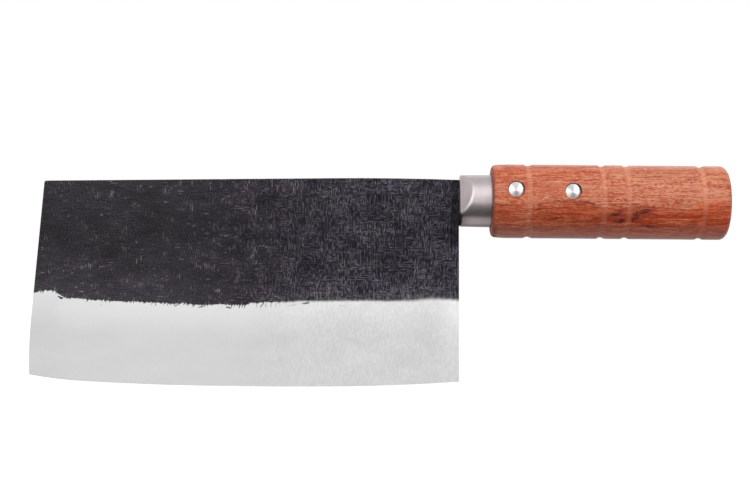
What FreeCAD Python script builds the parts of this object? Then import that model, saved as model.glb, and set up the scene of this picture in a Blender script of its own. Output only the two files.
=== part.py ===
import FreeCAD
import Part
import math
import os

# A Chinese cleaver: a tall steel blade with a wide ground bevel, a bright steel bolster and a
# round turned wooden grip. A stub tang runs into the grip, bedded in adhesive and riveted twice.
# Sizes are millimetres. X runs along the grip towards its butt, Z rises from the cutting edge
# towards the spine, and Y is the blade's thickness. The origin is on the grip's axis, in the
# middle of the long plain stretch that the hand closes on.

# Grip: plain stretches between the turned grooves, in order from its front shoulder to its butt
FRONT_RING_LENGTH = 15.9
MAIN_GRIP_LENGTH = 32.2
MIDDLE_RING_LENGTH = 10.7
REAR_GRIP_LENGTH = 32.5
BUTT_RING_LENGTH = 11.7
GRIP_RADIUS = 16.2
FRONT_RIM_RADIUS = 1.8
FRONT_CROWN_RADIUS = 40.0
FRONT_CROWN_DROP = 0.3
BUTT_RIM_RADIUS = 3.0
GROOVE_DEPTH = 0.65
GROOVE_ROOT_RADIUS = 2.4
GROOVE_SHOULDER_RADIUS = 1.6

# Bolster: a collar with a hollow scoop on each side, which thins it towards the blade
BOLSTER_LENGTH = 14.0
BOLSTER_FRONT_RADIUS = 11.35
BOLSTER_REAR_RADIUS = 11.5
BOLSTER_RIM_RADIUS = 1.0
SCOOP_RADIUS = 30.0
SCOOP_LEAN = 20.0
SCOOP_REACH = 4.2
SCOOP_RIM_RADIUS = 2.5
NOSE_WIDTH = 13.5

# Blade outline: lengths from the heel, heights and depths from the grip's axis
BLADE_LENGTH = 188.7
BLADE_THICKNESS = 2.2
EDGE_DEPTH = 82.6
BELLY_FROM_HEEL = 89.0
BELLY_RADIUS = 1525.0
TIP_CURVE_LENGTH = 22.7
TIP_CURVE_RADIUS = 178.0
HEEL_CURVE_LENGTH = 36.0
HEEL_CURVE_RADIUS = 862.0
HEEL_RAKE = 0.7
SHOULDER_MARGIN = 0.6
FRONT_LEAN = 5.1
FRONT_CURVE_RADIUS = 200.0
FRONT_POINT_RISE = 10.1
SPINE_TIP_HEIGHT = 7.3
SPINE_TIP_RADIUS = 1.0
SPINE_CREST_HEIGHT = 9.65
SPINE_CREST_FROM_HEEL = 34.5
SPINE_CREST_RADIUS = 1300.0
SPINE_EASE = 0.3

# Ground faces: the wide bevel runs down to a thin toe, and a narrow bevel makes the edge
BEVEL_WIDTH = 36.4
BEVEL_TOE_THICKNESS = 0.25
EDGE_LAND = 0.06
EDGE_ANGLE = 15.0

# Tang: its centre line falls slightly towards the butt
TANG_LENGTH = 60.0
TANG_WIDTH = 7.6
TANG_THICKNESS = 2.0
TANG_RISE = 4.94
TANG_DROP = 1.4
TANG_END_RADIUS = 2.0
TANG_SLOT_CLEARANCE = 0.1

# Adhesive bed between the tang and the mortise in the grip
BED_THICKNESS = 1.0
BED_END_LENGTH = 2.0

# Rivets: a solid post pressed into a barrel, each with a shallow pointed head in a counterbore
FRONT_RIVET_BACK = 9.95
REAR_RIVET_BACK = 34.5
RIVET_POST_RADIUS = 1.6
RIVET_BARREL_WALL = 0.88
RIVET_BORE_CLEARANCE = 0.02
RIVET_HOLE_CLEARANCE = 0.1
RIVET_HEAD_RADIUS = 3.3
RIVET_HEAD_THICKNESS = 1.7
RIVET_CROWN_HEIGHT = 0.5
RIVET_SEAT_DEPTH = 4.5
RIVET_PRESS_GAP = 1.0
COUNTERBORE_CLEARANCE = 0.3

# Length by which a cutting solid runs past what it cuts
OVERRUN = 4.0

# Distance below which two places count as one
SAME_PLACE = 1e-4

FRONT_X = -(FRONT_RING_LENGTH + MAIN_GRIP_LENGTH / 2)
GROOVE_1_X = FRONT_X + FRONT_RING_LENGTH
GROOVE_2_X = GROOVE_1_X + MAIN_GRIP_LENGTH
GROOVE_3_X = GROOVE_2_X + MIDDLE_RING_LENGTH
GROOVE_4_X = GROOVE_3_X + REAR_GRIP_LENGTH
BUTT_X = GROOVE_4_X + BUTT_RING_LENGTH
HEEL_X = FRONT_X - BOLSTER_LENGTH
BLADE_FRONT_X = HEEL_X - BLADE_LENGTH
TANG_END_X = HEEL_X + TANG_LENGTH

X_AXIS = FreeCAD.Vector(1, 0, 0)
Y_AXIS = FreeCAD.Vector(0, 1, 0)
ORIGIN = FreeCAD.Vector(0, 0, 0)


def point(x, z, y=0.0):
    return FreeCAD.Vector(x, y, z)


def line(start, end):
    return Part.LineSegment(start, end).toShape()


def arc(centre, start, end):
    """The shorter arc about a centre from start to end."""
    middle = (start - centre) + (end - centre)
    middle.normalize()
    middle.multiply((start - centre).Length)
    return Part.Arc(start, centre + middle, end).toShape()


def polygon(points):
    return Part.Face(Part.makePolygon(points + points[:1]))


def rod(x, z, radius, y_from, y_to):
    """A round rod across the blade's thickness."""
    return Part.makeCylinder(radius, y_to - y_from, point(x, z, y_from), Y_AXIS)


def both_sides(solid):
    """A solid and its mirror image across the blade's mid-plane."""
    return [solid, solid.mirror(ORIGIN, Y_AXIS)]


def upper_tangent_point(outside, centre, radius):
    """Where a line from an outside point on the left touches the top of a circle."""
    reach = outside - centre
    turn = math.acos(radius / reach.Length)
    angle = math.atan2(reach.z, reach.x) - turn
    return centre + point(radius * math.cos(angle), radius * math.sin(angle))


def lower_meeting_point(centre_a, radius_a, centre_b, radius_b):
    """The lower of the two points where two circles cross."""
    between = centre_b - centre_a
    gap = between.Length
    along = (radius_a ** 2 - radius_b ** 2 + gap ** 2) / (2 * gap)
    aside = math.sqrt(radius_a ** 2 - along ** 2)
    foot = centre_a + between * (along / gap)
    offset = point(-between.z, between.x) * (aside / gap)
    return min(foot + offset, foot - offset, key=lambda p: p.z)


def rounded_corner(before, corner, after, radius):
    """Start and end of a round between two straight runs, and the arc itself."""
    back = (before - corner).normalize()
    onward = (after - corner).normalize()
    half_angle = back.getAngle(onward) / 2
    cut = radius / math.tan(half_angle)
    centre = corner + (back + onward).normalize() * (radius / math.sin(half_angle))
    start = corner + back * cut
    end = corner + onward * cut
    return start, end, arc(centre, start, end)


def edge_curves():
    """Centres of the cutting edge's three tangent arcs, and the turns where they join."""
    belly_x = HEEL_X - BELLY_FROM_HEEL
    belly_centre = point(belly_x, BELLY_RADIUS - EDGE_DEPTH)
    tip_turn = math.asin((belly_x - BLADE_FRONT_X - TIP_CURVE_LENGTH) / BELLY_RADIUS)
    heel_turn = math.asin((belly_x - HEEL_X + HEEL_CURVE_LENGTH) / BELLY_RADIUS)
    tip_joint = on_circle(belly_centre, BELLY_RADIUS, tip_turn)
    heel_joint = on_circle(belly_centre, BELLY_RADIUS, heel_turn)
    tip_centre = tip_joint + (belly_centre - tip_joint) * (TIP_CURVE_RADIUS / BELLY_RADIUS)
    heel_centre = heel_joint + (belly_centre - heel_joint) * (HEEL_CURVE_RADIUS / BELLY_RADIUS)
    return belly_centre, tip_centre, heel_centre, tip_turn, heel_turn


def on_circle(centre, radius, turn):
    """A point on a circle, turned from its lowest point towards the tip."""
    return centre + point(-radius * math.sin(turn), -radius * math.cos(turn))


def blade_plate():
    """The blade's flat outline at full thickness, with its spine and front eased."""
    belly_centre, tip_centre, heel_centre, tip_turn, heel_turn = edge_curves()
    tip_joint = on_circle(belly_centre, BELLY_RADIUS, tip_turn)
    heel_joint = on_circle(belly_centre, BELLY_RADIUS, heel_turn)
    heel_corner_x = HEEL_X + HEEL_RAKE
    heel_corner_turn = math.asin((heel_centre.x - heel_corner_x) / HEEL_CURVE_RADIUS)
    heel_corner = on_circle(heel_centre, HEEL_CURVE_RADIUS, heel_corner_turn)
    shoulder_low = point(HEEL_X, -(BOLSTER_FRONT_RADIUS + SHOULDER_MARGIN))

    front_centre = point(BLADE_FRONT_X + FRONT_CURVE_RADIUS, FRONT_POINT_RISE - EDGE_DEPTH)
    tip_corner = lower_meeting_point(front_centre, FRONT_CURVE_RADIUS, tip_centre, TIP_CURVE_RADIUS)
    lean = math.radians(FRONT_LEAN)
    front_joint = on_circle(front_centre, FRONT_CURVE_RADIUS, math.pi / 2 + lean)
    spine_tip_x = front_joint.x + (SPINE_TIP_HEIGHT - front_joint.z) * math.tan(lean)
    spine_tip = point(spine_tip_x, SPINE_TIP_HEIGHT)

    crest_x = HEEL_X - SPINE_CREST_FROM_HEEL
    crest_centre = point(crest_x, SPINE_CREST_HEIGHT - SPINE_CREST_RADIUS)
    crest_joint = upper_tangent_point(spine_tip, crest_centre, SPINE_CREST_RADIUS)
    crest_drop = SPINE_CREST_RADIUS - math.sqrt(SPINE_CREST_RADIUS ** 2 - SPINE_CREST_FROM_HEEL ** 2)
    spine_heel = point(HEEL_X, SPINE_CREST_HEIGHT - crest_drop)

    corner = rounded_corner(crest_joint, spine_tip, front_joint, SPINE_TIP_RADIUS)
    round_start, round_end, tip_round = corner
    eased = [
        arc(crest_centre, spine_heel, crest_joint),
        line(crest_joint, round_start),
        tip_round,
        line(round_end, front_joint),
        arc(front_centre, front_joint, tip_corner),
    ]
    ground = [
        arc(tip_centre, tip_corner, tip_joint),
        arc(belly_centre, tip_joint, heel_joint),
        arc(heel_centre, heel_joint, heel_corner),
        line(heel_corner, shoulder_low),
        line(shoulder_low, spine_heel),
    ]
    face = Part.Face(Part.Wire(eased + ground))
    face.translate(Y_AXIS * (-BLADE_THICKNESS / 2))
    plate = face.extrude(Y_AXIS * BLADE_THICKNESS)
    rims = [edge for edge in plate.Edges if follows(edge, eased)]
    return plate.makeFillet(SPINE_EASE, rims)


def follows(edge, outline):
    """Whether an edge of the plate runs along one of the given outline edges."""
    middle = edge.valueAt((edge.FirstParameter + edge.LastParameter) / 2)
    on_flat = abs(abs(middle.y) - BLADE_THICKNESS / 2) < SAME_PLACE
    flat_middle = Part.Vertex(point(middle.x, middle.z))
    return on_flat and any(piece.distToShape(flat_middle)[0] < SAME_PLACE for piece in outline)


def bevel_cutter(centre, radius, turn_from, turn_to):
    """What is ground away beside one arc of the edge, on the +Y side."""
    half = BLADE_THICKNESS / 2
    half_toe = BEVEL_TOE_THICKNESS / 2
    half_land = EDGE_LAND / 2
    bevel_slope = (half - half_toe) / BEVEL_WIDTH
    edge_slope = math.tan(math.radians(EDGE_ANGLE))
    meeting = (half_toe - half_land) / (edge_slope - bevel_slope)
    top = BEVEL_WIDTH + OVERRUN
    section = [
        (-OVERRUN, half_land - OVERRUN * edge_slope),
        (meeting, half_land + meeting * edge_slope),
        (top, half + OVERRUN * bevel_slope),
        (top, half + OVERRUN),
        (-OVERRUN, half + OVERRUN),
    ]
    face = polygon([point(centre.x, centre.z - radius + inward, y) for inward, y in section])
    face.rotate(centre, Y_AXIS, math.degrees(turn_from))
    return face.revolve(centre, Y_AXIS, math.degrees(turn_to - turn_from))


def bevel_cutters():
    """Both sides of the bevel along the three arcs of the edge."""
    belly_centre, tip_centre, heel_centre, tip_turn, heel_turn = edge_curves()
    past_end = BEVEL_WIDTH
    tip_end = tip_turn + (TIP_CURVE_LENGTH + past_end) / TIP_CURVE_RADIUS
    heel_end = heel_turn - (HEEL_CURVE_LENGTH + past_end) / HEEL_CURVE_RADIUS
    stretches = [
        (belly_centre, BELLY_RADIUS, heel_turn, tip_turn),
        (tip_centre, TIP_CURVE_RADIUS, tip_turn, tip_end),
        (heel_centre, HEEL_CURVE_RADIUS, heel_end, heel_turn),
    ]
    cutters = []
    for stretch in stretches:
        cutters += both_sides(bevel_cutter(*stretch))
    return cutters


def tang_height(x):
    """Height of the tang's centre line above the grip's axis."""
    return TANG_RISE - (x - FRONT_X) * math.tan(math.radians(TANG_DROP))


def tang_bar(x_from, x_to, grown):
    """A bar along the tang, larger than it by the same amount on all four sides."""
    half_width = TANG_WIDTH / 2 + grown
    half_thickness = TANG_THICKNESS / 2 + grown
    corners = [
        point(x_from, tang_height(x_from) - half_width, -half_thickness),
        point(x_to, tang_height(x_to) - half_width, -half_thickness),
        point(x_to, tang_height(x_to) + half_width, -half_thickness),
        point(x_from, tang_height(x_from) + half_width, -half_thickness),
    ]
    return polygon(corners).extrude(Y_AXIS * (2 * half_thickness))


def tang():
    """The stub tang, rounded at the end of its two long sides."""
    bar = tang_bar(HEEL_X, TANG_END_X, 0.0)
    across = [edge for edge in bar.Edges if edge.BoundBox.YLength > TANG_THICKNESS / 2]
    end_corners = [edge for edge in across if abs(edge.BoundBox.Center.x - TANG_END_X) < SAME_PLACE]
    return bar.makeFillet(TANG_END_RADIUS, end_corners)


def rivet_places():
    """Each rivet's name and its place on the tang's centre line."""
    stations = {"front_rivet": FRONT_X + FRONT_RIVET_BACK, "rear_rivet": FRONT_X + REAR_RIVET_BACK}
    return {name: (x, tang_height(x)) for name, x in stations.items()}


def rivet_barrel_radius():
    return RIVET_POST_RADIUS + RIVET_BORE_CLEARANCE + RIVET_BARREL_WALL


def rivet_holes():
    """Through holes for the rivet barrels, in the grip, the bed and the tang."""
    radius = rivet_barrel_radius() + RIVET_HOLE_CLEARANCE
    reach = GRIP_RADIUS + OVERRUN
    return [rod(x, z, radius, -reach, reach) for x, z in rivet_places().values()]


def make_blade():
    return blade_plate().cut(bevel_cutters()).fuse(tang()).removeSplitter().cut(rivet_holes())


def scoop_cutter():
    """The leaning round cutter that hollows the +Y side of the bolster."""
    lean = math.radians(SCOOP_LEAN)
    near = (HEEL_X * math.cos(lean), NOSE_WIDTH / 2)
    far = ((HEEL_X + SCOOP_REACH) * math.cos(lean), BOLSTER_FRONT_RADIUS)
    chord = (far[0] - near[0], far[1] - near[1])
    half_chord = math.hypot(*chord) / 2
    rise = math.sqrt(SCOOP_RADIUS ** 2 - half_chord ** 2) / (2 * half_chord)
    centre_across = (near[0] + far[0]) / 2 - chord[1] * rise
    centre_y = (near[1] + far[1]) / 2 + chord[0] * rise
    direction = point(math.sin(lean), math.cos(lean))
    reach = BOLSTER_REAR_RADIUS * 2
    start = point(centre_across / math.cos(lean), 0.0, centre_y) - direction * reach
    return Part.makeCylinder(SCOOP_RADIUS, 2 * reach, start, direction)


def make_bolster():
    """The collar between blade and grip: scooped, softened at its rims and slotted for the tang."""
    front = point(HEEL_X, 0)
    collar = Part.makeCone(BOLSTER_FRONT_RADIUS, BOLSTER_REAR_RADIUS, BOLSTER_LENGTH, front, X_AXIS)
    collar = collar.cut(both_sides(scoop_cutter()))
    lengthwise = [edge for edge in collar.Edges if edge.BoundBox.XLength > SAME_PLACE]
    scoop_rims = [edge for edge in lengthwise if abs(edge.BoundBox.Center.y) > SAME_PLACE]
    collar = collar.makeFillet(SCOOP_RIM_RADIUS, scoop_rims)
    front_rim = [edge for edge in collar.Edges if edge.BoundBox.XMax < HEEL_X + SAME_PLACE]
    collar = collar.makeFillet(BOLSTER_RIM_RADIUS, front_rim)
    slot = tang_bar(HEEL_X - OVERRUN, FRONT_X + OVERRUN, TANG_SLOT_CLEARANCE)
    return collar.cut(slot)


def groove_edges(x):
    """A turned groove in the grip's outline: a hollow between two rounded shoulders."""
    radii = GROOVE_ROOT_RADIUS + GROOVE_SHOULDER_RADIUS
    half_width = math.sqrt(2 * radii * GROOVE_DEPTH - GROOVE_DEPTH ** 2)
    root_centre = point(x, GRIP_RADIUS - GROOVE_DEPTH + GROOVE_ROOT_RADIUS)
    edges = []
    joints = []
    ends = []
    for side in (-1, 1):
        shoulder_centre = point(x + side * half_width, GRIP_RADIUS - GROOVE_SHOULDER_RADIUS)
        end = point(x + side * half_width, GRIP_RADIUS)
        joint = shoulder_centre + (root_centre - shoulder_centre) * (GROOVE_SHOULDER_RADIUS / radii)
        edges.append(arc(shoulder_centre, end, joint))
        joints.append(joint)
        ends.append(end)
    edges.append(arc(root_centre, *joints))
    return edges, ends


def front_rim_edges():
    """The grip's front corner: a small round that runs into a long slight crown."""
    crown_turn = math.acos(1 - FRONT_CROWN_DROP / FRONT_CROWN_RADIUS)
    rim_joint_x = FRONT_X + FRONT_RIM_RADIUS * (1 - math.sin(crown_turn))
    crown_end = point(rim_joint_x + FRONT_CROWN_RADIUS * math.sin(crown_turn), GRIP_RADIUS)
    crown_centre = crown_end - point(0, FRONT_CROWN_RADIUS)
    rim_joint = point(rim_joint_x, GRIP_RADIUS - FRONT_CROWN_DROP)
    rim_centre = rim_joint + (crown_centre - rim_joint) * (FRONT_RIM_RADIUS / FRONT_CROWN_RADIUS)
    rim_start = point(FRONT_X, rim_centre.z)
    rim = arc(rim_centre, rim_start, rim_joint)
    crown = arc(crown_centre, rim_joint, crown_end)
    return rim_start, crown_end, [rim, crown]


def turned_grip():
    """The grip as it comes off the lathe."""
    rim_start, last, edges = front_rim_edges()
    for x in (GROOVE_1_X, GROOVE_2_X, GROOVE_3_X, GROOVE_4_X):
        groove, ends = groove_edges(x)
        edges += [line(last, ends[0])] + groove
        last = ends[1]
    butt_start = point(BUTT_X - BUTT_RIM_RADIUS, GRIP_RADIUS)
    butt_end = point(BUTT_X, GRIP_RADIUS - BUTT_RIM_RADIUS)
    butt_centre = point(butt_start.x, butt_end.z)
    edges += [line(last, butt_start), arc(butt_centre, butt_start, butt_end)]
    ends = [butt_end, point(BUTT_X, 0), point(FRONT_X, 0), rim_start]
    edges += [line(a, b) for a, b in zip(ends, ends[1:])]
    outline = Part.Face(Part.Wire(Part.__sortEdges__(edges)))
    return outline.revolve(ORIGIN, X_AXIS, 360)


def rivet_seat():
    """Distance from the mid-plane to the face that a rivet head bears on."""
    return GRIP_RADIUS - RIVET_SEAT_DEPTH


def counterbores():
    """Round recesses for the four rivet heads."""
    radius = RIVET_HEAD_RADIUS + COUNTERBORE_CLEARANCE
    recesses = []
    for x, z in rivet_places().values():
        recesses += both_sides(rod(x, z, radius, rivet_seat(), GRIP_RADIUS + OVERRUN))
    return recesses


def mortise(front_overrun):
    """The slot in the grip that takes the tang and its bed."""
    return tang_bar(FRONT_X - front_overrun, TANG_END_X + BED_END_LENGTH, BED_THICKNESS)


def make_handle():
    return turned_grip().cut([mortise(OVERRUN)] + rivet_holes() + counterbores())


def make_tang_bedding():
    return mortise(0.0).cut([tang()] + rivet_holes())


def rivet_head(x, z):
    """A round head on the +Y side, rising to a shallow point."""
    seat = rivet_seat()
    rim = seat + RIVET_HEAD_THICKNESS
    profile = [
        point(x, z, seat),
        point(x + RIVET_HEAD_RADIUS, z, seat),
        point(x + RIVET_HEAD_RADIUS, z, rim),
        point(x, z, rim + RIVET_CROWN_HEIGHT),
    ]
    return polygon(profile).revolve(point(x, z), Y_AXIS, 360)


def make_rivet_post(x, z):
    """The solid half, with its head on the -Y side."""
    head = rivet_head(x, z).mirror(ORIGIN, Y_AXIS)
    shank = rod(x, z, RIVET_POST_RADIUS, -rivet_seat(), rivet_seat() - RIVET_PRESS_GAP)
    return head.fuse(shank).removeSplitter()


def make_rivet_barrel(x, z):
    """The hollow half, with its head on the +Y side."""
    seat = rivet_seat()
    bore_radius = RIVET_POST_RADIUS + RIVET_BORE_CLEARANCE
    tube = rod(x, z, rivet_barrel_radius(), RIVET_PRESS_GAP - seat, seat)
    bore = rod(x, z, bore_radius, -seat, seat - RIVET_PRESS_GAP / 2)
    return rivet_head(x, z).fuse(tube).removeSplitter().cut(bore)


def make_pieces():
    pieces = {
        "blade": make_blade(),
        "bolster": make_bolster(),
        "handle": make_handle(),
        "tang_bedding": make_tang_bedding(),
    }
    for name, (x, z) in rivet_places().items():
        pieces[name + "_post"] = make_rivet_post(x, z)
        pieces[name + "_barrel"] = make_rivet_barrel(x, z)
    return pieces


os.makedirs("parts", exist_ok=True)
for node, shape in make_pieces().items():
    print(node, "valid", shape.isValid(), "solids", len(shape.Solids), "volume", round(shape.Volume, 1))
    shape.exportStep("parts/" + node + ".step")
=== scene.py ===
import math

import bpy
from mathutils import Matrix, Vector


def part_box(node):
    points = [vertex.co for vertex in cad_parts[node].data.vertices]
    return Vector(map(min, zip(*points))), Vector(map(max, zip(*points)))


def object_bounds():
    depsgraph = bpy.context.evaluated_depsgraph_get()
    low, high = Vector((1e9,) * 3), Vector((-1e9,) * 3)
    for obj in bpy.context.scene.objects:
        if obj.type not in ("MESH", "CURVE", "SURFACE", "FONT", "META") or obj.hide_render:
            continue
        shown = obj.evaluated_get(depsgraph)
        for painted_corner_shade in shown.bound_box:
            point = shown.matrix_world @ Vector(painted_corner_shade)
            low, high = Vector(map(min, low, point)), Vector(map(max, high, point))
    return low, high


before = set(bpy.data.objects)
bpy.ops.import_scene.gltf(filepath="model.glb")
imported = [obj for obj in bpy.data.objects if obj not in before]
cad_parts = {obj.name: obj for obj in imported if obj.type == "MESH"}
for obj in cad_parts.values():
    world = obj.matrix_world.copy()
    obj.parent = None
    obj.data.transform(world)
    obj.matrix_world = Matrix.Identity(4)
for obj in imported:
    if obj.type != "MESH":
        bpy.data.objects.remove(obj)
cad_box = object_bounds()

MM = 0.001

# Places on the cleaver, in millimetres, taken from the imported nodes
HEEL_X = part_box("bolster")[0].x / MM
TIP_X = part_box("blade")[0].x / MM
EDGE_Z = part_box("blade")[0].z / MM
HANDLE_FRONT_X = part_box("handle")[0].x / MM
HANDLE_BUTT_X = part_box("handle")[1].x / MM
GRIP_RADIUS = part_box("handle")[1].z / MM
BLADE_LENGTH = HEEL_X - TIP_X

# Fine lines: width of the lane that one line lies in, and length of a piece of it
SCRATCH_LANE = 0.64
SCRATCH_LENGTH = 1.5
HAIR_LANE = 0.46
HAIR_LENGTH = 2.7
BRUSH_LANE = 0.5
BRUSH_LENGTH = 4.0
GRIND_LANE = 0.6
GRIND_LENGTH = 1.3
PORE_LANE = 0.95
PORE_LENGTH = 4.2
STRAND_LANE = 0.45
STRAND_LENGTH = 1.1
FIBRE_LANE = 0.6
FIBRE_LENGTH = 9.0
FINE_LANE = 0.38
FINE_LENGTH = 3.2

# The forge finish: grey towards the tip, darker towards the heel with bluer clouds there, and brownish just
# above its border. Its scratches show bare metal
FORGE_TIP = (0.0282, 0.0252, 0.0302)
FORGE_HEEL = (0.013, 0.0105, 0.0164)
FORGE_HEEL_BLUE = (0.0105, 0.0083, 0.0192)
FORGE_BROWN = (0.019, 0.0188, 0.0172)
SCRATCH_TIP = (0.27, 0.235, 0.247)
SCRATCH_HEEL = (0.22, 0.201, 0.236)
DARKEST_SPECK = 0.15
DARKEST_CLOUD = 0.3

# The lower border of the forge finish: distance from the heel, height above the edge
FORGE_LINE = [
    (0.0, 39.0),
    (11.0, 39.3),
    (22.0, 38.5),
    (53.0, 38.1),
    (85.0, 37.3),
    (101.0, 36.0),
    (127.0, 36.5),
    (159.0, 37.6),
    (171.0, 38.5),
    (174.2, 38.9),
    (176.4, 40.8),
    (180.3, 41.5),
    (185.0, 41.1),
    (188.7, 40.1),
]
FORGE_LINE_LOW = 34.0
FORGE_LINE_HIGH = 44.0

# The fringe of short bristles along that border: how many stand in a millimetre, and their lean
FRINGE_PER_MM = 1.7
FRINGE_LEAN = 0.35

# Dark dashes left standing below the forge finish: distance from the heel, drop below the border,
# length, thickness, slope in degrees and strength
FORGE_DASHES = [
    (174.9, 1.0, 3.4, 0.9, 25.0, 1.0),
    (157.0, 2.1, 1.6, 0.4, 0.0, 0.3),
    (133.0, 0.9, 1.8, 0.5, 45.0, 0.9),
    (124.0, 0.9, 2.6, 0.5, 40.0, 0.9),
    (113.0, 1.0, 3.4, 0.6, 10.0, 0.8),
    (101.0, 1.2, 3.0, 0.8, -10.0, 0.95),
    (88.6, 1.2, 2.4, 0.4, 100.0, 0.6),
    (86.5, 1.6, 2.2, 0.5, 60.0, 0.8),
    (84.6, 1.3, 2.4, 0.4, 85.0, 0.6),
    (82.3, 1.5, 2.2, 0.4, 95.0, 0.5),
    (80.2, 1.3, 2.6, 0.4, 80.0, 0.55),
    (78.4, 1.1, 1.8, 0.4, 90.0, 0.4),
    (72.5, 1.6, 5.0, 0.4, 5.0, 0.35),
    (67.0, 0.9, 4.4, 0.8, 8.0, 0.9),
    (51.0, 2.2, 3.6, 0.5, -5.0, 0.3),
]

# Bright steels, with a warmer painted reflection on the bolster's lower part, and the corner where each
# scoop of the bolster runs out against the blade, which gets painted shade
BEVEL_STEEL = (1.0, 0.998, 1.0)
BOLSTER_UPPER = (1.0, 0.875, 0.9)
BOLSTER_LOWER_PAINTED_REFLECTION = (1.0, 0.835, 0.845)
RIVET_STEEL = (1.0, 0.955, 0.965)
SCOOP_CORNER = (-46.5, -8.2)

# Cured adhesive
EPOXY_DEEP = (0.42, 0.32, 0.18)
EPOXY_PALE = (0.62, 0.52, 0.36)

# Red hardwood, from its darkest fibres to its palest, its layers and marks, its oiled end grain, and the
# colours of painted sheen and painted shadow
WOOD_DARK = (0.45, 0.047, 0.009)
WOOD_MIDDLE = (0.615, 0.124, 0.04)
WOOD_PALE = (0.715, 0.26, 0.132)
WOOD_PORE = (0.32, 0.03, 0.009)
WOOD_ORANGE_FRONT = (0.58, 0.075, 0.012)
WOOD_ORANGE_REAR = (0.68, 0.078, 0.01)
WOOD_PAINTED_MAUVE_SHEEN = (0.4, 0.12, 0.08)
WOOD_PAINTED_UNDERSIDE_SHEEN = (0.62, 0.3, 0.25)
WOOD_RED = (0.4, 0.05, 0.016)
WOOD_STREAK = (0.13, 0.012, 0.007)
WOOD_GROOVE = (0.7, 0.32, 0.2)
WOOD_END = (0.2, 0.03, 0.014)
SEAT_PAINTED_SHADOW = (0.045, 0.01, 0.012)
END_GRAIN_DEPTH = 1.0

# How much the red, green and blue of wood change where it is paler or deeper
STAIN_WEIGHTS = (0.5, 1.0, 1.3)

# Turned grooves of the grip, measured back from its front face
GROOVE_PLACES = (15.9, 48.1, 58.8, 91.3)
GROOVE_HALF_WIDTH = 1.6

# The grip's seats for the rivet heads, and how far out from them the painted shadow along their upper edge
# reaches
SEAT_RADIUS = 3.6
SEAT_RIM_RADIUS = 3.85

# The darkest streaks on the near side of the grip: place along it, height above its axis, length,
# thickness, slope in degrees and strength
DARK_STREAKS = [
    (21.1, -5.4, 8.6, 2.3, 17.0, 1.0),
    (22.6, -8.4, 6.4, 2.3, 8.0, 1.0),
    (31.8, -4.6, 9.4, 2.5, 15.0, 1.0),
    (29.0, -7.2, 4.4, 2.6, 30.0, 1.0),
    (36.7, -2.2, 4.8, 0.9, 72.0, 0.8),
    (37.2, -1.2, 3.2, 0.8, 20.0, 0.7),
    (36.4, -10.8, 18.0, 1.4, -8.0, 0.9),
    (53.5, -10.0, 8.0, 1.5, 0.0, 0.9),
    (62.5, -9.9, 6.0, 1.2, 0.0, 0.7),
    (15.0, -11.0, 6.0, 2.8, -10.0, 0.5),
    (10.9, -1.4, 5.6, 1.0, -15.0, 0.9),
    (12.4, -7.5, 5.2, 1.2, 12.0, 0.9),
    (21.3, -2.6, 8.0, 0.8, 2.0, 0.5),
    (-5.1, -7.5, 7.5, 1.0, 10.0, 0.8),
    (-3.2, -9.5, 4.0, 0.9, 0.0, 0.7),
    (3.5, -9.0, 6.8, 0.9, 5.0, 0.7),
    (-12.8, -3.9, 4.2, 1.0, 0.0, 0.6),
    (67.7, -2.4, 6.0, 1.8, 8.0, 0.7),
    (66.0, -7.0, 8.0, 1.2, 0.0, 0.5),
    (52.9, 9.5, 9.6, 0.8, 3.0, 0.6),
    (43.0, 10.6, 30.0, 0.8, 0.0, 0.6),
    (36.0, 12.2, 44.0, 0.8, 0.0, 0.6),
    (46.0, 13.6, 40.0, 0.8, 0.0, 0.6),
    (18.0, 9.4, 16.0, 0.8, 1.0, 0.5),
    (-19.5, 9.3, 9.0, 0.8, -2.0, 0.5),
    (5.0, 8.6, 7.0, 0.8, 2.0, 0.4),
]

# The redder layer that the first of these streaks lie in: centre, half length, half width and slope
RED_LAYER_CENTRE = (26.5, -5.8)
RED_LAYER_LENGTH = 14.0
RED_LAYER_WIDTH = 4.0
RED_LAYER_SLOPE = 12.0

# A richer orange along the grip's lower half, and below it a mauve painted sheen
ORANGE_LAYER_TOP = -1.0
MAUVE_SHEEN_TOP = -10.5

# One growth line that arches over the grip's long plain stretch: its top, its radius and its reach
ARCH_TOP = (0.1, 0.0)
ARCH_RADIUS = 39.0
ARCH_REACH = 18.0

# The camera stands level in front of the blade, rolled by half a degree
CAMERA_PLACE = (-0.0828, -0.665, -0.02195)
CAMERA_ROLL = 0.51
LENS_MM = 72.5
SENSOR_MM = 36.0

# The light that comes evenly from all around
AMBIENT = 0.35

# Softboxes: azimuth and elevation, distance, width, height and radiance. Azimuth 0 is the camera's side
SOFTBOXES = {
    "key": (0, 52, 1.3, 1.9, 1.1, 1.9),
    "left_fill": (-50, 12, 1.2, 0.5, 0.9, 0.6),
    "right_fill": (48, 12, 1.2, 0.5, 0.9, 0.9),
    "back_fill": (180, 45, 1.3, 1.6, 0.9, 0.9),
}

# Cards that only shiny metal and varnish see. They stand for a studio's lights and its grey surroundings:
# the azimuths and elevations between which the bolster sees each one, and its brightness
CARD_DISTANCE = 1.2
FACING_CARDS = {
    "high_card": ((-6, 15), (20, 62), 1.22),
    "room_card": ((-6, 15), (-14, 20), 0.58),
    "left_strip": ((-56, -6), (-4, 55), 1.8),
    "right_strip": ((15, 60), (-4, 55), 1.7),
    "left_wall": ((-76, -56), (-4, 70), 0.45),
    "far_left_wall": ((-112, -76), (-4, 70), 0.75),
}

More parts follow.
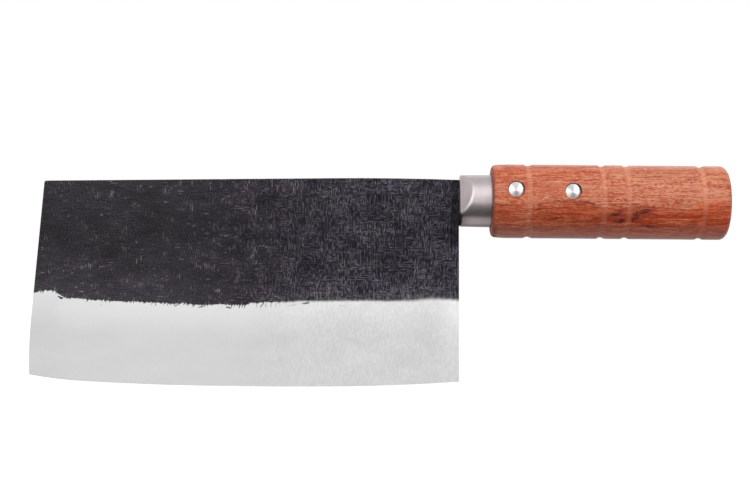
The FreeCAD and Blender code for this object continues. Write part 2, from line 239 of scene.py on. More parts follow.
# The white floor, and the level cards: left, front, right and back, with their heights
FLOOR_AREA = (-5.0, -5.0, 5.0, 5.0)
FLOOR_GLOW = 0.85
FLOOR_PAINT = (0.42, 0.42, 0.42, 1.0)
CEILING_AREA = (-1.0, -0.3, 1.0, 1.0)
CEILING_HEIGHT = 1.3
CEILING_GLOW = 0.72
TABLE_AREA = (-0.6, -0.2, 0.6, -0.0145)
TABLE_HEIGHT = -0.036
TABLE_GLOW = 0.74
TABLE_DARK_Y = -8.0
TABLE_FADE = 220.0
SHADE_AREA = (-1.0, -1.0, 1.0, 1.0)
SHADE_LIFT = 0.0005
SHADE_GLOW = 0.42


class Graph:
    """The node tree of a material or of the world, with a short call for each kind of node."""

    def __init__(self, owner):
        self.owner = owner
        self.owner.use_nodes = True
        self.tree = self.owner.node_tree
        self.tree.nodes.clear()

    def feed(self, socket, value):
        """Links a socket to another one, or sets it to a plain value."""
        if isinstance(value, bpy.types.NodeSocket):
            self.tree.links.new(value, socket)
        else:
            socket.default_value = value

    def node(self, kind, inputs=None, **settings):
        made = self.tree.nodes.new(kind)
        for key, value in settings.items():
            setattr(made, key, value)
        for socket, value in (inputs or {}).items():
            self.feed(made.inputs[socket], value)
        return made

    def place(self):
        """The three parts of a point on the object, in millimetres."""
        spot = self.node("ShaderNodeTexCoord").outputs["Object"]
        parts = self.node("ShaderNodeSeparateXYZ", {0: self.shade(spot, 1 / MM)})
        return parts.outputs[0], parts.outputs[1], parts.outputs[2]

    def math(self, operation, *values):
        return self.node("ShaderNodeMath", dict(enumerate(values)), operation=operation).outputs[0]

    def add(self, *values):
        total = values[0]
        for value in values[1:]:
            total = self.math("ADD", total, value)
        return total

    def times(self, *values):
        product = values[0]
        for value in values[1:]:
            product = self.math("MULTIPLY", product, value)
        return product

    def minus(self, a, b):
        return self.math("SUBTRACT", a, b)

    def most(self, a, b):
        return self.math("MAXIMUM", a, b)

    def size(self, value):
        return self.math("ABSOLUTE", value)

    def swing(self, value, scale):
        """A number from 0 to 1 turned into a swing about zero."""
        return self.times(self.minus(value, 0.5), scale)

    def vector(self, x, y, z):
        return self.node("ShaderNodeCombineXYZ", {0: x, 1: y, 2: z}).outputs[0]

    def noise(self, place, per_mm, detail=2.0, roughness=0.5):
        """Smooth noise about 0.5, with so many features per millimetre; a part with 1 is used as it is."""
        parts = [part if rate == 1 else self.times(part, rate) for part, rate in zip(place, per_mm)]
        inputs = {
            "Vector": self.vector(*parts),
            "Scale": 1.0,
            "Detail": detail,
            "Roughness": roughness,
        }
        return self.node("ShaderNodeTexNoise", inputs).outputs[0]

    def chance(self, x, y, z):
        """A fixed random number from 0 to 1 for each triple of whole numbers."""
        return self.node("ShaderNodeTexWhiteNoise", {"Vector": self.vector(x, y, z)}).outputs[0]

    def ramp(self, value, start, end, low=0.0, high=1.0):
        """A smooth step from low at start to high at end."""
        inputs = {
            "Value": value,
            "From Min": start,
            "From Max": end,
            "To Min": low,
            "To Max": high,
        }
        return self.node("ShaderNodeMapRange", inputs, interpolation_type="SMOOTHSTEP").outputs[0]

    def blend(self, factor, a, b):
        return self.node("ShaderNodeMix", {0: factor, 2: a, 3: b}, data_type="FLOAT").outputs[0]

    def tint(self, factor, a, b):
        made = self.node("ShaderNodeMix", {0: factor}, data_type="RGBA")
        for socket, colour in ((made.inputs[6], a), (made.inputs[7], b)):
            self.feed(socket, (*colour, 1.0) if isinstance(colour, tuple) else colour)
        return made.outputs[2]

    def shade(self, colour, factor):
        """A colour made darker or lighter by a factor, or a point scaled by it."""
        made = self.node("ShaderNodeVectorMath", {0: colour, "Scale": factor}, operation="SCALE")
        return made.outputs[0]

    def stain(self, colour, swing):
        """The colour made paler or deeper, as wood changes: least in its red and most in its blue."""
        parts = [self.add(1.0, self.times(swing, weight)) for weight in STAIN_WEIGHTS]
        made = self.node("ShaderNodeVectorMath", {0: colour, 1: self.vector(*parts)}, operation="MULTIPLY")
        return made.outputs[0]

    def curve(self, value, points):
        """A smooth curve through points, with both axes from 0 to 1."""
        made = self.node("ShaderNodeFloatCurve", {"Value": value})
        line = made.mapping.curves[0]
        line.points[0].location = points[0]
        line.points[-1].location = points[-1]
        for point in points[1:-1]:
            line.points.new(*point)
        made.mapping.update()
        return made.outputs[0]

    def bump(self, height_mm):
        inputs = {"Height": height_mm, "Distance": MM, "Strength": 1.0}
        return self.node("ShaderNodeBump", inputs).outputs[0]

    def glow(self, strength):
        """Ends the tree with plain white light."""
        light = self.node("ShaderNodeEmission", {"Strength": strength})
        self.node("ShaderNodeOutputMaterial", {0: light.outputs[0]})
        return self.owner

    def finish(self, **inputs):
        """Ends the tree with a Principled shader; names of inputs have underscores for spaces."""
        shader = self.node("ShaderNodeBsdfPrincipled")
        for name, value in inputs.items():
            self.feed(shader.inputs[name.replace("_", " ")], value)
        self.node("ShaderNodeOutputMaterial", {0: shader.outputs[0]})
        return self.owner


def new_material(name):
    return Graph(bpy.data.materials.new(name))


def dashes(g, along, across, seed, lane_width, length, rarity):
    """Thin straight lines in narrow lanes, in short pieces of which a few are strong and most are faint."""
    row = g.times(across, 1 / lane_width)
    lane = g.math("FLOOR", row)
    shift = g.chance(lane, seed, 0.0)
    middle = g.add(0.25, g.times(shift, 0.5))
    aside = g.size(g.minus(g.math("FRACT", row), middle))
    place = g.add(g.times(along, 1 / length), g.times(shift, 9.0))
    from_middle = g.size(g.minus(g.math("FRACT", place), 0.5))
    strength = g.math("POWER", g.chance(lane, g.math("FLOOR", place), seed), rarity)
    return g.times(strength, g.ramp(aside, 0.32, 0.12), g.ramp(from_middle, 0.5, 0.38))


def crossed_dashes(g, from_heel, height, seed, lane_width, length, rarity, upright_mask, level_mask):
    """Dashes that stand upright under one mask and lie level under the other."""
    upright = dashes(g, height, from_heel, seed, lane_width, length, rarity)
    level = dashes(g, from_heel, height, g.add(seed, 9.0), lane_width, length, rarity)
    return g.most(g.times(upright, upright_mask), g.times(level, level_mask))


def strands(g, along, across, seed, lane_width, length):
    """A random level from 0 to 1 in each narrow lane, which changes slowly along the lane."""
    lane = g.math("FLOOR", g.times(across, 1 / lane_width))
    place = g.add(g.times(along, 1 / length), g.times(g.chance(lane, seed, 0.0), 9.0))
    piece = g.math("FLOOR", place)
    here = g.chance(lane, piece, seed)
    there = g.chance(lane, g.add(piece, 1.0), seed)
    return g.blend(g.ramp(g.math("FRACT", place), 0.0, 1.0), here, there)


def turned(g, along, up, slope):
    """Distances along and across a direction that slopes by some degrees."""
    c = math.cos(math.radians(slope))
    s = math.sin(math.radians(slope))
    return g.add(g.times(along, c), g.times(up, s)), g.add(g.times(along, -s), g.times(up, c))


def oval(g, along, across, half_length, half_width):
    """One in the middle of a long oval, falling to zero at its rim."""
    a = g.times(along, 1 / half_length)
    b = g.times(across, 1 / half_width)
    return g.ramp(g.add(g.times(a, a), g.times(b, b)), 1.0, 0.4)


def from_centre(g, x, z, centre):
    """Distances to the right of a rivet's centre, above it and straight from it."""
    across = g.minus(x, centre.x / MM)
    up = g.minus(z, centre.z / MM)
    return across, up, g.math("SQRT", g.add(g.times(across, across), g.times(up, up)))


def middle_of(node):
    low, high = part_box(node)
    return (low + high) / 2


def above_border(g, from_heel, height):
    """Height above the border between forge finish and bevel."""
    span = FORGE_LINE_HIGH - FORGE_LINE_LOW
    points = [(d / BLADE_LENGTH, (h - FORGE_LINE_LOW) / span) for d, h in FORGE_LINE]
    line = g.curve(g.math("DIVIDE", from_heel, BLADE_LENGTH), points)
    return g.minus(height, g.add(g.times(line, span), FORGE_LINE_LOW))


def forge_cover(g, from_heel, height, above, side):
    """One on the forge finish, zero on the bevel. The border is bristly at the tip and soft at the heel."""
    towards_tip = g.ramp(from_heel, 66.0, 88.0)
    at_heel = g.ramp(from_heel, 16.0, 6.0)
    bristly = g.most(towards_tip, g.times(at_heel, 0.4))

    # Each bristle of the fringe has a length of its own, and they stand in tufts
    lanes = g.times(g.add(from_heel, g.times(height, FRINGE_LEAN)), FRINGE_PER_MM)
    tuft = g.noise((from_heel, side, 5.0), (0.13, 1, 1))
    longest = g.times(g.blend(bristly, 0.3, 2.0), g.ramp(tuft, 0.4, 0.62, 0.2, 1.4))
    reach = g.times(g.math("POWER", g.chance(g.math("FLOOR", lanes), side, 3.0), 3.0), longest)
    aside = g.size(g.swing(g.math("FRACT", lanes), 2.0))
    fringe = g.times(reach, g.minus(1.0, aside))

    bristle = g.noise((from_heel, height, side), (1.1, 0.5, 1), roughness=0.6)
    wave = g.noise((from_heel, height, side), (0.11, 0.03, 1))
    ragged = g.add(
        above,
        fringe,
        g.swing(bristle, g.blend(bristly, 0.2, 1.6)),
        g.swing(wave, g.blend(towards_tip, 0.8, 1.8)),
    )
    softness = g.add(g.blend(bristly, 0.8, 0.22), g.ramp(from_heel, 30.0, 8.0, 0.0, 0.5))
    cover = g.ramp(ragged, g.times(softness, -1.0), softness)

    for place, drop, length, thickness, slope, strength in FORGE_DASHES:
        along, across = turned(g, g.minus(place, from_heel), g.add(above, drop), slope)
        across = g.add(across, g.swing(bristle, 1.2))
        dash = g.times(oval(g, along, across, length / 2, thickness / 2), strength)
        cover = g.most(cover, dash)
    return cover


def forge_strokes(g, from_heel, height, above, side, towards_heel):
    """Scratches brushed upright in some patches and level in others: a short weave, and longer hairs."""
    near_border = g.ramp(above, 9.0, 0.0)
    worn = g.add(g.blend(towards_heel, 0.0, 0.12), g.times(near_border, towards_heel, 0.06))
    patch = g.noise((from_heel, height, side), (0.16, 0.22, 1), detail=3.0, roughness=0.6)
    upright_here = g.add(patch, worn)
    level_here = g.minus(patch, worn)
    weave = crossed_dashes(
        g, from_heel, height, side, SCRATCH_LANE, SCRATCH_LENGTH, 2.3,
        g.ramp(upright_here, 0.5, 0.6, 0.1),
        g.ramp(level_here, 0.42, 0.32, 0.1),
    )
    weave = g.times(weave, g.ramp(from_heel, 130.0, 40.0, 0.15, 1.0))
    hairs = crossed_dashes(
        g, from_heel, height, g.add(side, 2.0), HAIR_LANE, HAIR_LENGTH, g.blend(towards_heel, 6.0, 3.2),
        g.ramp(upright_here, 0.54, 0.62),
        g.ramp(level_here, 0.43, 0.35),
    )
    hairs = g.times(hairs, g.blend(towards_heel, 0.95, 0.8))
    return g.most(weave, hairs)


def forge_colour(g, from_heel, height, above, side, towards_heel, strokes, speck):
    """Near-black scale with fine specks, bare metal in its scratches, paler and darker clouds, and painted
    shade in its top corner beside the bolster.
    """
    cloud = g.noise((from_heel, height, g.add(side, 3.0)), (0.09, 0.14, 1), detail=4.0, roughness=0.55)
    drift = g.noise((from_heel, height, g.add(side, 5.0)), (0.05, 0.08, 1))
    brush = strands(g, from_heel, height, g.add(side, 4.0), BRUSH_LANE, BRUSH_LENGTH)
    # Painted shade: the forge finish is darkened in its top corner right beside the bolster
    painted_corner_shade = g.times(g.ramp(from_heel, 5.0, 1.5), g.ramp(height, 58.0, 72.0))
    speckled = g.add(
        1.0,
        g.swing(speck, g.blend(towards_heel, 4.2, 4.8)),
        g.swing(brush, g.blend(towards_heel, 0.45, 0.2)),
    )
    clouded = g.add(
        g.blend(towards_heel, 1.06, 0.8),
        g.swing(drift, 1.3),
        g.swing(cloud, 1.2),
        g.ramp(above, 7.0, 0.0, 0.0, 0.2),
        g.ramp(above, 17.0, 6.0, 0.0, 0.2),
        g.ramp(height, 78.0, 92.0, 0.0, 0.2),
        g.times(g.ramp(from_heel, 80.0, 150.0), g.ramp(above, 24.0, 6.0), 0.28),
        g.times(painted_corner_shade, -0.5),
    )
    heel_tone = g.tint(g.ramp(drift, 0.58, 0.42), FORGE_HEEL, FORGE_HEEL_BLUE)
    tone = g.tint(towards_heel, FORGE_TIP, heel_tone)
    tone = g.tint(g.times(g.ramp(above, 6.0, 0.0), towards_heel, 0.7), tone, FORGE_BROWN)
    scale = g.shade(tone, g.most(speckled, DARKEST_SPECK))
    bare = g.tint(towards_heel, SCRATCH_TIP, SCRATCH_HEEL)
    return g.shade(g.tint(strokes, scale, bare), g.most(clouded, DARKEST_CLOUD))


def bevel_colour(g, from_heel, height, above, side, grind):
    """Bright satin steel with faint upright grinding lines. Painted reflection makes it palest just below
    the border, with a painted highlight at the heel end; it also grows a little brighter towards the heel
    and darker towards the tip.
    """
    smear = g.noise((from_heel, height, side), (0.05, 0.12, 1), detail=3.0)
    ground = g.ramp(from_heel, 105.0, 55.0)
    bright = g.add(
        # Painted reflection: palest just below the border, darker further down
        g.ramp(above, -17.0, 0.0, 0.585, 0.7),
        g.ramp(from_heel, 90.0, 40.0, 0.0, 0.025),
        # Painted highlight at the heel end, strongest near the border
        g.times(g.ramp(from_heel, 13.0, 0.0), g.ramp(above, -36.0, 0.0, 0.35, 1.0), 0.12),
        g.ramp(from_heel, 140.0, 190.0, 0.0, -0.03),
        g.swing(grind, g.blend(ground, 0.012, 0.075)),
        g.swing(smear, g.blend(ground, 0.06, 0.14)),
    )
    return g.shade(BEVEL_STEEL, bright)


def blade_material():
    g = new_material("blade_forge_and_bevel")
    x, y, z = g.place()
    from_heel = g.minus(HEEL_X, x)
    height = g.minus(z, EDGE_Z)
    side = g.math("GREATER_THAN", y, 0.0)
    above = above_border(g, from_heel, height)
    cover = forge_cover(g, from_heel, height, above, side)

    towards_heel = g.ramp(from_heel, 135.0, 40.0)
    strokes = forge_strokes(g, from_heel, height, above, side, towards_heel)
    speck = g.noise((from_heel, height, side), (2.2, 2.0, 1), detail=1.0)
    forged = forge_colour(g, from_heel, height, above, side, towards_heel, strokes, speck)
    grind = strands(g, height, from_heel, side, GRIND_LANE, GRIND_LENGTH)
    ground = bevel_colour(g, from_heel, height, above, side, grind)

    relief = g.blend(cover, g.times(grind, 0.004), g.add(g.times(strokes, 0.02), g.times(speck, 0.03)))
    return g.finish(
        Base_Color=g.tint(cover, ground, forged),
        Metallic=g.minus(1.0, cover),
        Roughness=g.blend(cover, 0.4, g.blend(strokes, 0.58, 0.45)),
        Specular_IOR_Level=0.1,
        Normal=g.bump(relief),
    )


def bolster_material():
    g = new_material("bolster_satin_steel")
    x, y, z = g.place()
    turning = g.noise((x, y, z), (5.0, 0.05, 0.05), detail=3.0, roughness=0.7)
    cloud = g.noise((x, y, z), (0.2, 0.2, 0.2))
    bright = g.add(0.6, g.swing(turning, 0.16), g.swing(cloud, 0.1))

    # Painted shade in the scoops' corners, along the joint to the grip, low beside the blade and underneath
    painted_corner_shade = oval(g, g.minus(x, SCOOP_CORNER[0]), g.minus(z, SCOOP_CORNER[1]), 2.0, 3.6)
    painted_joint_shade = g.ramp(x, HANDLE_FRONT_X - 0.7, HANDLE_FRONT_X - 0.2)
    low = g.times(g.ramp(x, HEEL_X + 6.0, HEEL_X - 0.5), g.ramp(z, -4.5, -6.5))
    bright = g.times(
        bright,
        g.blend(painted_corner_shade, 1.0, 0.3),
        g.blend(painted_joint_shade, 1.0, 0.5),
        g.blend(low, 1.0, 0.45),
        g.ramp(z, -9.7, -11.2, 1.0, 0.45),
    )
    # Painted reflection: the bolster's lower part is warmer
    steel = g.tint(g.ramp(z, -2.0, -7.0), BOLSTER_UPPER, BOLSTER_LOWER_PAINTED_REFLECTION)
    return g.finish(
        Base_Color=g.shade(steel, bright),
        Metallic=1.0,
        Roughness=g.add(0.3, g.times(turning, 0.08)),
        Normal=g.bump(g.times(turning, 0.006)),
    )


def rivet_material(name, centre):
    """Bright steel turned to fine rings, which spread its highlights towards and away from the middle."""
    g = new_material(name)
    x, _, z = g.place()
    across, up, radius = from_centre(g, x, z, centre)
    rings = g.noise((radius, across, up), (4.0, 0.1, 0.1), detail=3.0)
    return g.finish(
        Base_Color=g.shade(RIVET_STEEL, g.add(0.77, g.times(rings, 0.1))),
        Metallic=1.0,
        Roughness=0.16,
        Anisotropic=0.4,
        Anisotropic_Rotation=0.25,
        Tangent=g.node("ShaderNodeTangent", direction_type="RADIAL", axis="Y").outputs[0],
    )


def bedding_material():
    g = new_material("bedding_cured_epoxy")
    cloud = g.noise(g.place(), (0.4, 0.4, 0.4), detail=3.0)
    return g.finish(
        Base_Color=g.tint(cloud, EPOXY_DEEP, EPOXY_PALE),
        Roughness=g.add(0.3, g.times(cloud, 0.2)),
        Normal=g.bump(g.times(cloud, 0.05)),
    )


class Wood:
    """Places on the grip, and the patterns in its wood that several steps of its colour share."""

    def __init__(self, g):
        x, y, z = g.place()
        self.x = x
        self.z = z
        self.near = g.ramp(y, -4.0, -8.0)

        # The fibres wander a little about the grip's axis
        sway = g.noise((x, y, z), (0.045, 0.1, 0.1))
        ripple = g.noise((x, y, z), (0.2, 0.4, 0.4), detail=1.0)
        bend = g.add(g.swing(sway, 3.2), g.swing(ripple, 0.9))
        self.v = g.add(y, bend)
        self.w = g.add(z, bend)
        around = g.add(g.times(g.math("ARCTAN2", z, g.times(y, -1.0)), GRIP_RADIUS), bend)

        self.from_front = g.minus(x, HANDLE_FRONT_X)
        self.from_end = g.math("MINIMUM", self.from_front, g.minus(HANDLE_BUTT_X, x))
        self.end_face = g.ramp(self.from_end, 0.5, 0.1)
        self.round_face = g.minus(1.0, self.end_face)

        fibres = (x, self.v, self.w)
        self.broad = g.noise(fibres, (0.03, 0.35, 0.35), detail=1.0)
        self.fibre = g.noise(fibres, (0.07, 1.3, 1.3), detail=1.0)
        self.grit = g.noise(fibres, (0.5, 1.7, 1.7), detail=1.0)
        self.strand = strands(g, x, around, 5.0, STRAND_LANE, STRAND_LENGTH)
        self.long_fibre = strands(g, x, around, 8.0, FIBRE_LANE, FIBRE_LENGTH)
        self.fine = strands(g, x, around, 13.0, FINE_LANE, FINE_LENGTH)
        self.pores = g.times(dashes(g, x, around, 21.0, PORE_LANE, PORE_LENGTH, 2.0), self.round_face)
        self.wander = g.add(g.swing(ripple, 1.0), g.swing(self.grit, 0.8))

        aside = g.minus(x, RED_LAYER_CENTRE[0])
        up = g.minus(z, RED_LAYER_CENTRE[1])
        along, across = turned(g, aside, up, RED_LAYER_SLOPE)
        red = oval(g, along, g.add(across, self.wander), RED_LAYER_LENGTH, RED_LAYER_WIDTH)
        self.red_layer = g.times(red, self.near)


def growth_arch(g, wood):
    """One growth line on the near side: the layer above it, the darker one below it, and the line."""
    from_top = g.minus(wood.x, ARCH_TOP[0])
    aside = g.size(from_top)
    sag = g.times(from_top, from_top, 0.5 / ARCH_RADIUS)
    off_arch = g.add(g.minus(wood.z, ARCH_TOP[1]), sag, wood.wander)
    on_reach = g.times(g.ramp(aside, ARCH_REACH, ARCH_REACH * 0.6), wood.near)
    on_top = g.times(wood.near, g.ramp(aside, ARCH_REACH * 0.9, ARCH_REACH * 0.75))
    above = g.times(g.ramp(off_arch, -0.3, 0.8), g.ramp(off_arch, 10.0, 6.0), on_top)
    below = g.times(g.ramp(off_arch, 0.5, -0.5), g.ramp(off_arch, -9.0, -4.0), on_reach)
    line = g.times(g.ramp(g.size(off_arch), 0.5, 0.15), g.ramp(wood.fibre, 0.3, 0.5), on_reach)
    return above, below, line


def wood_light(g, wood, above_arch, below_arch):
    """How pale the wood is, with its grain: 0.5 is its middle colour."""
    grain = g.add(
        g.swing(wood.strand, 1.05),
        g.swing(wood.long_fibre, 0.85),
        g.swing(wood.fibre, 0.5),
        g.swing(wood.grit, 0.6),
        g.swing(wood.broad, 0.7),
    )
    contrast = g.ramp(wood.x, 0.0, 30.0, 0.8, 1.2)
    paler_rear = g.times(
        g.ramp(wood.x, 5.0, 40.0),
        g.ramp(wood.x, 55.0, 62.0, 1.0, 0.75),
        g.add(g.ramp(wood.z, -10.0, 2.0, -0.12, 0.36), g.ramp(wood.z, 4.0, 12.0, 0.0, 0.12)),
    )
    round_light = g.add(
        0.52,
        g.times(grain, contrast),
        g.times(above_arch, 0.18),
        g.times(below_arch, -0.24),
        g.times(wood.red_layer, -0.1),
        paler_rear,
    )

    # The flat ends show the growth layers as bowed lines, with pores as fine dots
    bowed = g.add(wood.w, g.times(wood.v, wood.v, 0.012))
    layers = g.noise((wood.v, bowed, 3.0), (0.05, 0.8, 1), detail=3.0, roughness=0.6)
    dots = g.noise((wood.v, wood.w, 6.0), (2.2, 2.2, 1), detail=1.0)
    end_light = g.add(0.6, g.swing(layers, 1.6), g.swing(dots, 1.4))
    return g.blend(wood.end_face, round_light, end_light)


def layer_colours(g, wood, light):
    """The wood's colour, with its pores, a richer orange along its lower half, and a painted sheen below
    that, mauve and paler along the underside.
    """
    colour = g.tint(g.ramp(light, 0.0, 0.5), WOOD_DARK, WOOD_MIDDLE)
    colour = g.tint(g.ramp(light, 0.5, 1.0), colour, WOOD_PALE)
    colour = g.tint(g.times(wood.pores, 0.5), colour, WOOD_PORE)

    lower = g.add(wood.z, g.times(wood.wander, 1.5))
    below_orange = g.minus(lower, g.ramp(wood.x, 50.0, 60.0, 0.0, 3.0))
    orange = g.times(
        g.ramp(below_orange, ORANGE_LAYER_TOP, ORANGE_LAYER_TOP - 4.0),
        g.ramp(wood.x, -30.0, 20.0, 0.5, 1.0),
        g.ramp(wood.x, 50.0, 60.0, 0.48, 0.62),
    )
    rich = g.tint(g.ramp(wood.x, 15.0, 35.0), WOOD_ORANGE_FRONT, WOOD_ORANGE_REAR)
    colour = g.tint(orange, colour, rich)
    lively = g.times(g.ramp(wood.z, -1.0, -8.0), g.ramp(wood.x, 0.0, 30.0, 0.3, 0.75))
    colour = g.stain(colour, g.swing(wood.long_fibre, lively))
    # Painted reflection: a mauve sheen low on the grip, paler along its underside
    painted_mauve_sheen = g.ramp(lower, MAUVE_SHEEN_TOP + 0.8, MAUVE_SHEEN_TOP - 0.8)
    colour = g.tint(g.times(painted_mauve_sheen, 0.4), colour, WOOD_PAINTED_MAUVE_SHEEN)
    colour = g.tint(g.ramp(wood.z, -12.5, -15.0, 0.0, 0.35), colour, WOOD_PAINTED_UNDERSIDE_SHEEN)
    return g.tint(g.times(wood.red_layer, 0.55), colour, WOOD_RED)


def add_streaks(g, wood, colour, arch):
    """The growth line and the darkest streaks, broken up by fibres, and fine lines over all of the wood."""
    streaks = g.times(arch, 0.8)
    for place, height, length, thickness, slope, strength in DARK_STREAKS:
        along, across = turned(g, g.minus(wood.x, place), g.minus(wood.z, height), slope)
        streak = oval(g, along, g.add(across, g.times(wood.wander, 0.9)), length / 2, thickness / 2)
        streaks = g.most(streaks, g.times(streak, wood.near, strength))
    threads = g.add(g.times(wood.strand, 0.6), g.times(wood.long_fibre, 0.4))
    fibrous = g.ramp(threads, 0.25, 0.6, 1.0, 0.35)
    colour = g.tint(g.times(streaks, fibrous), colour, WOOD_STREAK)
    lined = g.times(g.ramp(wood.z, 5.0, -3.0, 0.35, 0.8), wood.round_face)
    return g.stain(colour, g.swing(wood.fine, lined))


def groove_cuts(g, x):
    """One in the turned grooves, zero between them."""
    groove = 0.0
    for place in GROOVE_PLACES:
        gap = g.size(g.minus(x, HANDLE_FRONT_X + place - 0.2))
        groove = g.most(groove, g.ramp(gap, GROOVE_HALF_WIDTH, 0.5))
    return groove


def paint_seat_shadows(g, wood, colour):
    """Painted shadow along the upper edge of each rivet's seat."""
    for rivet in ("front_rivet_post", "rear_rivet_post"):
        _, up, radius = from_centre(g, wood.x, wood.z, middle_of(rivet))
        seat_shadow = g.times(g.ramp(radius, SEAT_RIM_RADIUS, SEAT_RADIUS), g.ramp(up, -1.5, 2.0))
        colour = g.tint(g.times(seat_shadow, 0.9), colour, SEAT_PAINTED_SHADOW)
    return colour


def handle_material():
    g = new_material("handle_red_hardwood")
    wood = Wood(g)
    above_arch, below_arch, arch = growth_arch(g, wood)
    light = wood_light(g, wood, above_arch, below_arch)
    colour = layer_colours(g, wood, light)
    colour = add_streaks(g, wood, colour, arch)

    # The grooves are cut across the fibres and look paler
    groove = groove_cuts(g, wood.x)
    colour = g.shade(colour, g.add(1.0, g.times(groove, g.ramp(wood.z, -2.0, 6.0, 0.06, 0.16))))
    colour = g.tint(g.times(groove, g.ramp(wood.z, -6.0, 4.0, 0.12, 0.36)), colour, WOOD_GROOVE)

    # End grain is darker and drinks up the oil; the lower part of the front rim is darkened as painted
    # shade
    end = g.ramp(wood.from_end, END_GRAIN_DEPTH, 0.3)
    low_front_painted_shade = g.times(g.ramp(wood.from_front, 3.2, 0.8), g.ramp(wood.z, -7.0, -13.0))
    colour = g.tint(g.most(g.times(end, 0.6), g.times(low_front_painted_shade, 0.7)), colour, WOOD_END)

    roughness = g.add(
        0.24,
        g.times(wood.fibre, 0.1),
        g.times(wood.pores, 0.2),
        g.times(groove, 0.2),
        g.times(g.most(end, low_front_painted_shade), 0.4),
    )
    return g.finish(
        Base_Color=paint_seat_shadows(g, wood, colour),
        Roughness=roughness,
        Specular_IOR_Level=0.45,
        Normal=g.bump(g.add(g.times(wood.pores, -0.05), g.times(wood.fibre, 0.06))),
    )


def dress(node, material):
    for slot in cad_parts[node].material_slots:
        slot.material = material


def dress_cleaver():
    dress("blade", blade_material())
    dress("bolster", bolster_material())
    dress("handle", handle_material())
    dress("tang_bedding", bedding_material())
    for place in ("front", "rear"):
        material = rivet_material(f"{place}_rivet_turned_steel", middle_of(f"{place}_rivet_post"))
        dress(f"{place}_rivet_post", material)
        dress(f"{place}_rivet_barrel", material)


def white_to_sight(g):
    """One for rays that show the background: seen directly, mirrored or through glass."""
    path = g.node("ShaderNodeLightPath").outputs
    seen = g.most(path["Is Camera Ray"], path["Is Glossy Ray"])
    return g.most(seen, path["Is Transmission Ray"])


def floor_material():
    """White to sight, with enough plain diffuse in it to keep the object's shadow."""
    g = new_material("floor_white")
    glow = g.node("ShaderNodeEmission", {"Strength": g.times(white_to_sight(g), FLOOR_GLOW)})
    paint = g.node("ShaderNodeBsdfDiffuse", {"Color": FLOOR_PAINT})
    both = g.node("ShaderNodeAddShader", {0: glow.outputs[0], 1: paint.outputs[0]})
    g.node("ShaderNodeOutputMaterial", {0: both.outputs[0]})
    return g.owner


def table_material():
    """Seen from above, dark beside the cleaver as a painted shadow and paler away from it; seen from below,
    white.
    """
    g = new_material("front_table")
    # Painted shadow: the card is darkest next to the cleaver
    away = g.minus(TABLE_DARK_Y, g.place()[1])
    top = g.times(g.math("DIVIDE", away, g.add(away, TABLE_FADE)), TABLE_GLOW)
    below = g.node("ShaderNodeNewGeometry").outputs["Backfacing"]
    return g.glow(g.blend(below, top, 1.0))


def shade_material():
    """White, but grey right under the grip."""
    g = new_material("floor_shade")
    x, y, _ = g.place()
    under = g.times(g.ramp(y, -60.0, -20.0), g.ramp(y, 300.0, 120.0), g.ramp(x, HEEL_X, HEEL_X + 6.0))
    return g.glow(g.blend(under, 1.0, SHADE_GLOW))


def sheet(name, corners, material):
    """A flat stage surface with four corners."""
    mesh = bpy.data.meshes.new(name)
    mesh.from_pydata(corners, [], [tuple(range(len(corners)))])
    mesh.materials.append(material)
    made = bpy.data.objects.new(name, mesh)
    bpy.context.scene.collection.objects.link(made)
    return made


def reflection_card(name, corners, material):
    card = sheet(name, corners, material)
    card.visible_camera = False
    card.visible_diffuse = False
    card.visible_shadow = False
    card.visible_transmission = False


def level_corners(area, height):
    left, front, right, back = area
    return [(left, front, height), (right, front, height), (right, back, height), (left, back, height)]


def facing_corners(azimuths, elevations):
    """Corners of an upright card that the bolster sees between two azimuths and two elevations."""
    corners = []
    for azimuth, elevation in ((0, 0), (1, 0), (1, 1), (0, 1)):
        a = math.radians(azimuths[azimuth])
        e = math.radians(elevations[elevation])
        direction = Vector((math.sin(a), -math.cos(a), math.tan(e)))
        corners.append(Vector((HEEL_X * MM, 0, 0)) + direction * CARD_DISTANCE)
    return corners


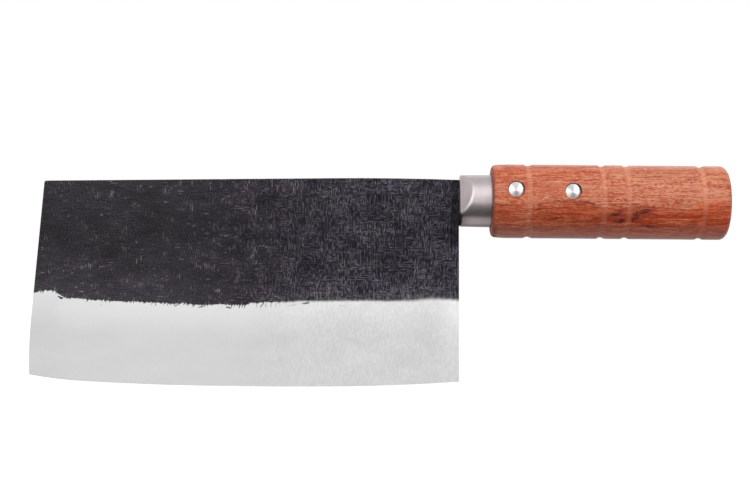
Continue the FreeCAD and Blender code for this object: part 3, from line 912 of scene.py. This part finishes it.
def build_stage():
    ground = cad_box[0].z
    sheet("floor", level_corners(FLOOR_AREA, ground), floor_material())
    for name, (azimuths, elevations, strength) in FACING_CARDS.items():
        reflection_card(name, facing_corners(azimuths, elevations), new_material(name).glow(strength))
    ceiling = new_material("ceiling").glow(CEILING_GLOW)
    reflection_card("ceiling", level_corners(CEILING_AREA, CEILING_HEIGHT), ceiling)
    reflection_card("front_table", level_corners(TABLE_AREA, TABLE_HEIGHT), table_material())
    reflection_card("floor_shade", level_corners(SHADE_AREA, ground + SHADE_LIFT), shade_material())


def build_world():
    """White to sight, and a dim even light on everything."""
    world = bpy.data.worlds.new("studio")
    bpy.context.scene.world = world
    g = Graph(world)
    level = g.node("ShaderNodeMapRange", {"Value": white_to_sight(g), "To Min": AMBIENT})
    sky = g.node("ShaderNodeBackground", {"Color": (1.0, 1.0, 1.0, 1.0), "Strength": level.outputs[0]})
    g.node("ShaderNodeOutputWorld", {0: sky.outputs[0]})


def softbox(name, azimuth, elevation, distance, width, height, radiance):
    """An area lamp that faces the cleaver, and that its shiny metal doesn't mirror."""
    a = math.radians(azimuth)
    e = math.radians(elevation)
    direction = Vector((math.sin(a) * math.cos(e), -math.cos(a) * math.cos(e), math.sin(e)))
    lamp = bpy.data.lights.new(name, "AREA")
    lamp.shape = "RECTANGLE"
    lamp.size = width
    lamp.size_y = height
    lamp.energy = radiance * math.pi * width * height
    made = bpy.data.objects.new(name, lamp)
    made.location = (cad_box[0] + cad_box[1]) / 2 + direction * distance
    made.rotation_euler = (-direction).to_track_quat("-Z", "Y").to_euler()
    made.visible_glossy = False
    bpy.context.scene.collection.objects.link(made)


def build_lights():
    for name, settings in SOFTBOXES.items():
        softbox(name, *settings)


def build_camera():
    lens = bpy.data.cameras.new("camera")
    lens.lens = LENS_MM
    lens.sensor_width = SENSOR_MM
    made = bpy.data.objects.new("camera", lens)
    made.location = CAMERA_PLACE
    made.rotation_euler = (math.radians(90), math.radians(-CAMERA_ROLL), 0)
    bpy.context.scene.collection.objects.link(made)
    bpy.context.scene.camera = made


dress_cleaver()
build_stage()
build_world()
build_lights()
build_camera()
bpy.context.scene.view_settings.view_transform = "Standard"
